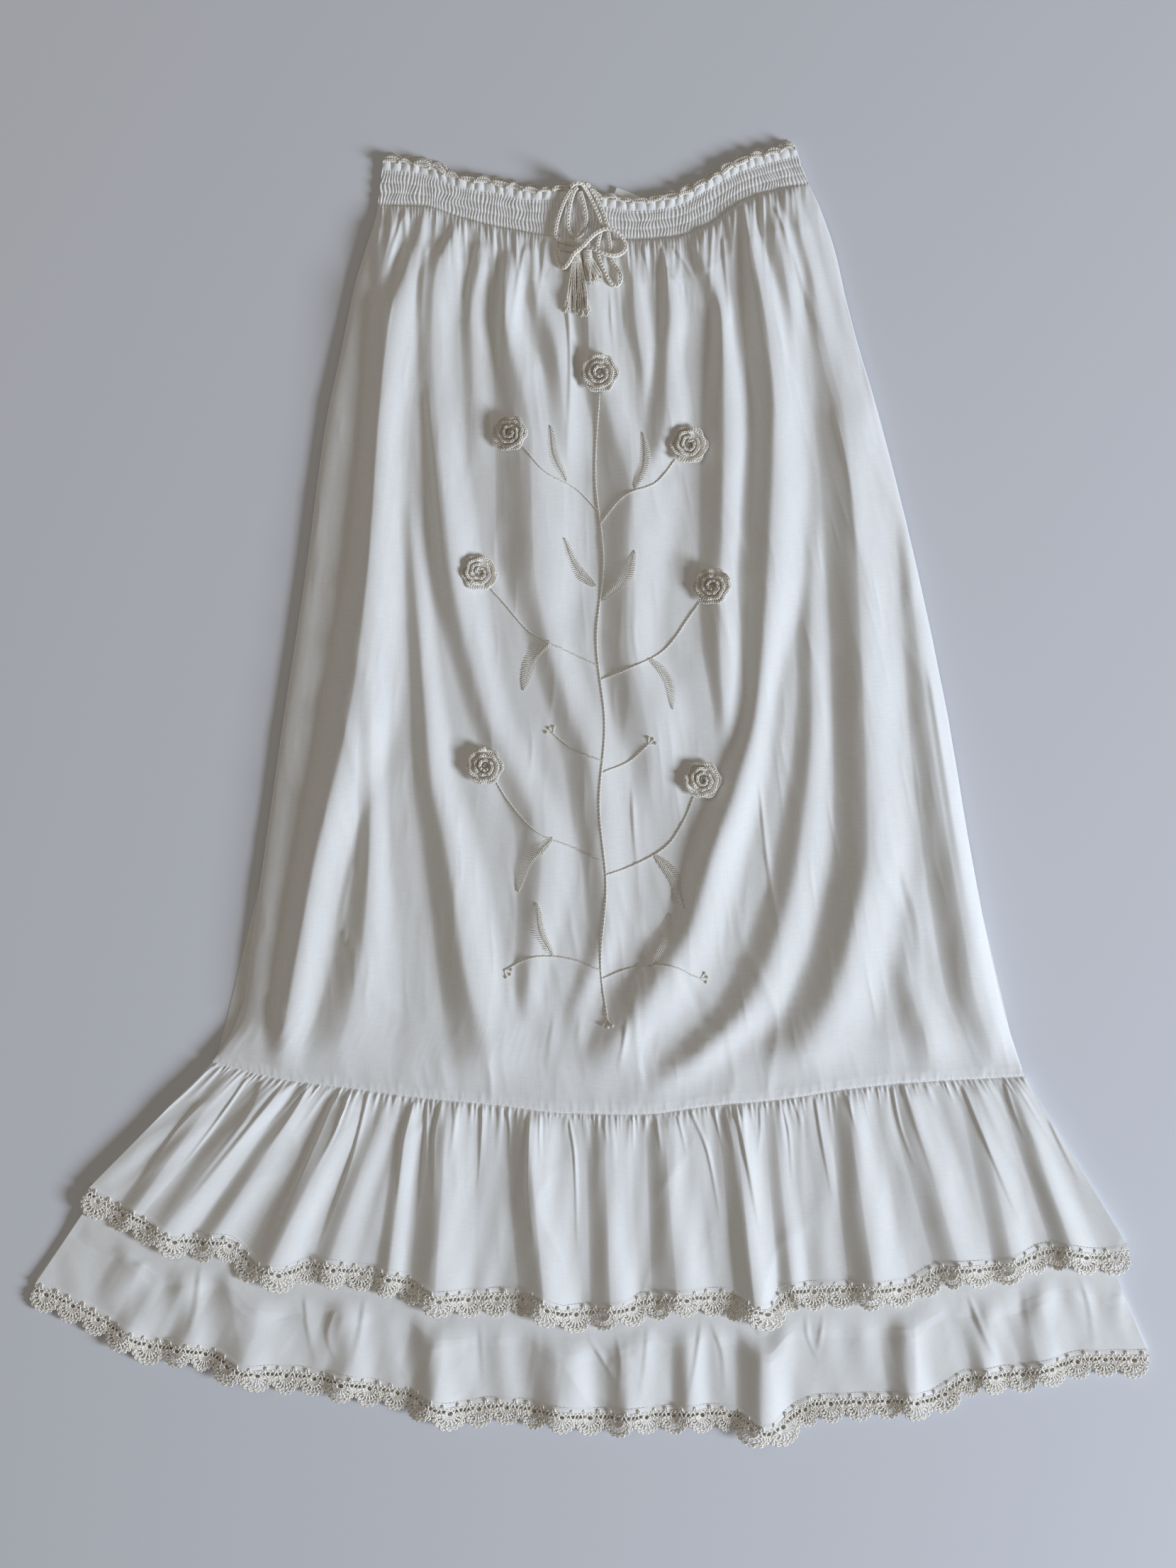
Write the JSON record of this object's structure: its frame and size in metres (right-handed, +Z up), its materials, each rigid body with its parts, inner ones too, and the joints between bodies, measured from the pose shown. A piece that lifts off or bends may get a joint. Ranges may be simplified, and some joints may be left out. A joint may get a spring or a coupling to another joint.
{
  "type": "prairie skirt",
  "caption": "Long cotton prairie skirt laid flat: shirred waist with a frill and crocheted edging, drawstring bow with tassels, vine front with crocheted roses, layered lace-edged flounces.",
  "frame": {"origin": "middle of the laid-out skirt's outline on the surface that it lies on", "axes": "+Y from the hem towards the waist, +Z up off the surface through the front, +X to the right seen from above with the waist at the top"},
  "size_m": [0.8295, 0.9676, 0.0255],
  "materials": {
    "cotton": "fine ivory cotton lawn with a soft sheen",
    "crochet": "ecru crochet cotton",
    "cord": "crocheted ecru cord and loose thread",
    "label": "blank white woven tape"
  },
  "bodies": {
    "root": {"front_panel": "cotton", "back_panel": "cotton", "front_waistband": "cotton", "back_waistband": "cotton", "front_waist_frill": "cotton", "back_waist_frill": "cotton", "front_over_flounce": "cotton", "front_under_flounce": "cotton", "back_over_flounce": "cotton", "back_under_flounce": "cotton", "front_over_lace": "crochet", "front_under_lace": "crochet", "back_over_lace": "crochet", "back_under_lace": "crochet", "front_waist_edging": "crochet", "back_waist_edging": "crochet", "rose_1": "crochet", "rose_2": "crochet", "rose_3": "crochet", "rose_4": "crochet", "rose_5": "crochet", "rose_6": "crochet", "rose_7": "crochet", "label": "label", "drawstring_left": "cord", "drawstring_right": "cord", "drawstring_middle": "cord", "tassel_long": "cord", "tassel_short": "cord"}
  },
  "joints": []
}
